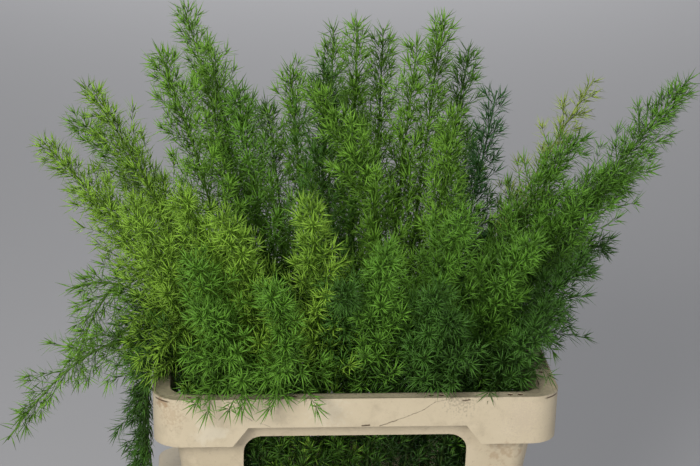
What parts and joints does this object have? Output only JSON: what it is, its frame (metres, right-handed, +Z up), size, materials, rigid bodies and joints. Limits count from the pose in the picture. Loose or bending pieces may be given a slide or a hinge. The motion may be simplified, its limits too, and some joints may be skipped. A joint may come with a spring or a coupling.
{
  "type": "foxtail fern in a flower holder",
  "caption": "Dense bunch of arching foxtail fern fronds standing in water in a rounded rectangular bucket with a windowed collar.",
  "frame": {"origin": "middle of the bucket's flat underside", "axes": "+Z up, +X along the holder's long side, -Y towards the front that the picture shows"},
  "size_m": [0.7004, 0.4459, 0.722],
  "materials": {
    "bucket": "satin",
    "collar": "satin",
    "water": "gloss",
    "frond": "matte"
  },
  "bodies": {
    "root": {"bucket": "bucket", "collar": "collar", "water": "water", "frond_01": "frond", "frond_02": "frond", "frond_03": "frond", "frond_04": "frond", "frond_05": "frond", "frond_06": "frond", "frond_07": "frond", "frond_08": "frond", "frond_09": "frond", "frond_10": "frond", "frond_11": "frond", "frond_12": "frond", "frond_13": "frond", "frond_14": "frond", "frond_15": "frond", "frond_16": "frond", "frond_17": "frond", "frond_18": "frond", "frond_19": "frond", "frond_20": "frond", "frond_21": "frond", "frond_22": "frond", "frond_23": "frond", "frond_24": "frond", "frond_25": "frond", "frond_26": "frond", "frond_27": "frond", "frond_28": "frond", "frond_29": "frond", "frond_30": "frond", "frond_31": "frond", "frond_32": "frond", "frond_33": "frond", "frond_34": "frond", "frond_35": "frond", "frond_36": "frond", "frond_37": "frond", "frond_38": "frond", "frond_39": "frond", "frond_40": "frond", "frond_41": "frond", "frond_42": "frond", "frond_43": "frond", "frond_44": "frond", "frond_45": "frond", "frond_46": "frond", "frond_47": "frond", "frond_48": "frond", "frond_49": "frond", "frond_50": "frond", "frond_51": "frond"}
  },
  "joints": []
}
